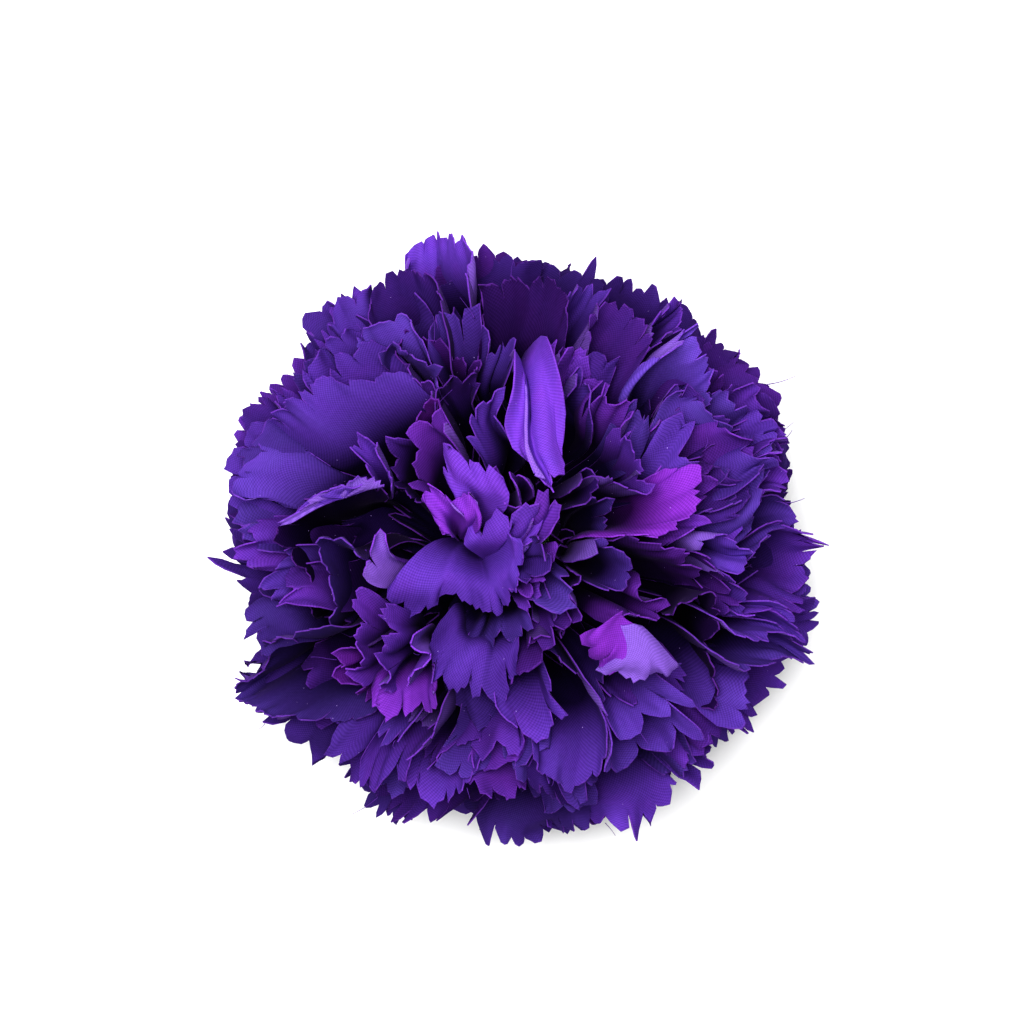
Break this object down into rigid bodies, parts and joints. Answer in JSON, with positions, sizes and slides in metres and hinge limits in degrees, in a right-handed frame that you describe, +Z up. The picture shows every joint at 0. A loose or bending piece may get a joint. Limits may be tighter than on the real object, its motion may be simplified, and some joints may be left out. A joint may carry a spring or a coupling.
{
  "type": "fabric carnation flower head",
  "caption": "Violet fabric carnation bloom with layered, tooth-edged petals on a green calyx with the cut end of its stem, lying face up.",
  "frame": {"origin": "on the surface that the head rests on, below the middle of its bounding box", "axes": "+Z up through the middle of the bloom, +Y towards the top of the picture"},
  "size_m": [0.0888, 0.092, 0.0606],
  "materials": {
    "petal_fabric": "plain woven violet polyester with heat-cut toothed edges",
    "calyx_green": "moulded mid-green polyethylene, satin",
    "pin_ivory": "moulded natural polyethylene",
    "stem_green": "moulded dark green coating, cut end",
    "wire_steel": "plain drawn iron wire, cut end"
  },
  "bodies": {
    "root": {"bloom": "petal_fabric", "calyx": "calyx_green", "pin": "pin_ivory", "stem_stub": "stem_green", "stem_wire": "wire_steel"}
  },
  "joints": []
}
